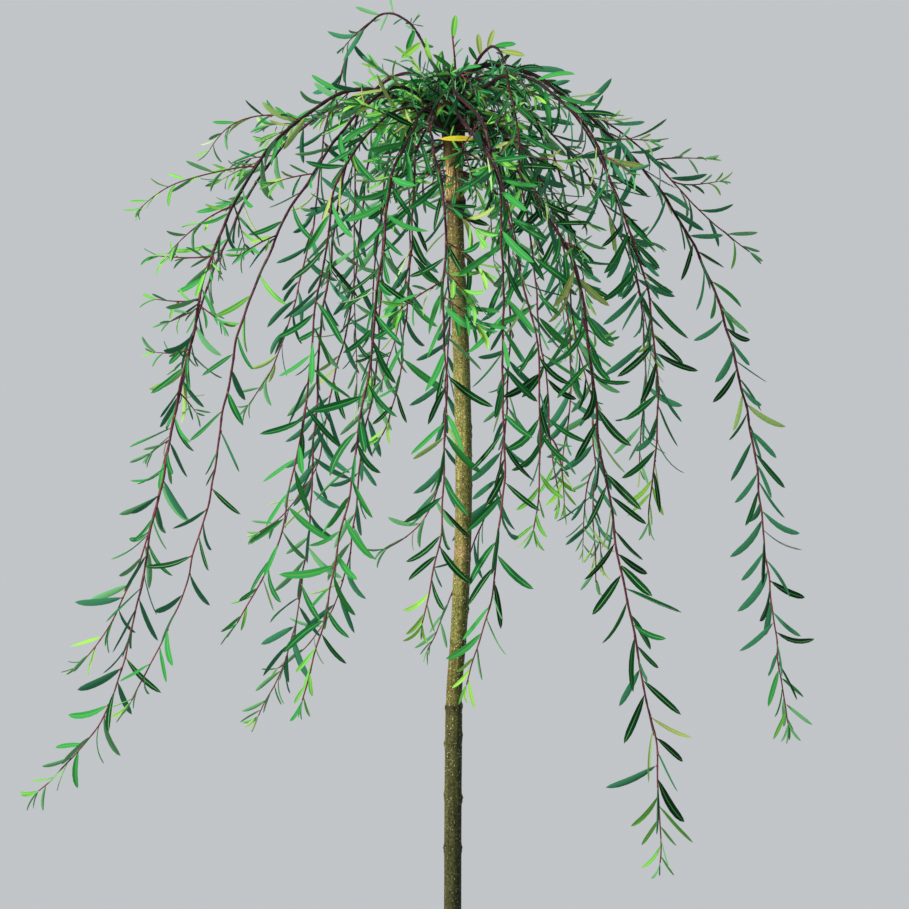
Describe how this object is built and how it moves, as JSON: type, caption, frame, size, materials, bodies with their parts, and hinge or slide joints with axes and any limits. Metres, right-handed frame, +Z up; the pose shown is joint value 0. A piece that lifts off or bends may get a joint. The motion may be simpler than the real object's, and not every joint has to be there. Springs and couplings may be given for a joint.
{
  "type": "grafted weeping willow tree",
  "caption": "Young grafted weeping willow: a slim straight stem topped by arching purple-brown shoots that hang in open curtains of narrow green leaves.",
  "frame": {"origin": "centre of the flat cut under the stem, at ground level", "axes": "+Z up along the stem, -Y is the side seen in front, +X to its right"},
  "size_m": [0.9362, 0.6988, 1.4186],
  "materials": {
    "stem_bark": "smooth young olive bark with pale pores and darker leaf-scar rings",
    "shoot_bark": "dark purple-brown smooth shoot bark, slightly waxy",
    "foliage": "narrow satin leaves, dark green above with a pale midrib, blue-green below"
  },
  "bodies": {
    "root": {"bough_front_left_long": "shoot_bark", "bough_front_middle": "shoot_bark", "bough_front_right_long": "shoot_bark", "bough_left_back": "shoot_bark", "bough_left_front": "shoot_bark", "bough_left_long": "shoot_bark", "bough_rear_left_long": "shoot_bark", "bough_rear_middle": "shoot_bark", "bough_rear_right": "shoot_bark", "bough_rear_right_long": "shoot_bark", "bough_right_front": "shoot_bark", "bough_right_long": "shoot_bark", "bough_top_loop": "shoot_bark", "fall_front_left": "foliage", "fall_front_left_long": "foliage", "fall_front_long": "foliage", "fall_front_loop_lower": "foliage", "fall_front_loop_upper": "foliage", "fall_front_middle": "foliage", "fall_front_right_long_lower": "foliage", "fall_front_right_long_upper": "foliage", "fall_front_right_short": "foliage", "fall_front_right_tuft": "foliage", "fall_front_tuft": "foliage", "fall_left_back_lower": "foliage", "fall_left_back_upper": "foliage", "fall_left_front": "foliage", "fall_left_long_lower": "foliage", "fall_left_long_upper": "foliage", "fall_rear_left_long": "foliage", "fall_rear_left_short": "foliage", "fall_rear_left_sweep": "foliage", "fall_rear_middle": "foliage", "fall_rear_right": "foliage", "fall_rear_right_long": "foliage", "fall_rear_right_tuft": "foliage", "fall_rear_tuft": "foliage", "fall_right_front": "foliage", "fall_right_long_lower": "foliage", "fall_right_long_upper": "foliage", "fall_right_rear": "foliage", "fall_top_loop": "foliage", "shoulder_front_left_long": "foliage", "shoulder_front_middle": "foliage", "shoulder_front_right_long": "foliage", "shoulder_left_back": "foliage", "shoulder_left_front": "foliage", "shoulder_left_long": "foliage", "shoulder_rear_left_long": "foliage", "shoulder_rear_middle": "foliage", "shoulder_rear_right": "foliage", "shoulder_rear_right_long": "foliage", "shoulder_right_front": "foliage", "shoulder_right_long": "foliage", "shoulder_top_loop": "foliage", "spray_left_lower": "foliage", "spray_left_upper": "foliage", "spray_right_rear": "foliage", "spray_top_sprig": "foliage", "trunk": "stem_bark"}
  },
  "joints": []
}
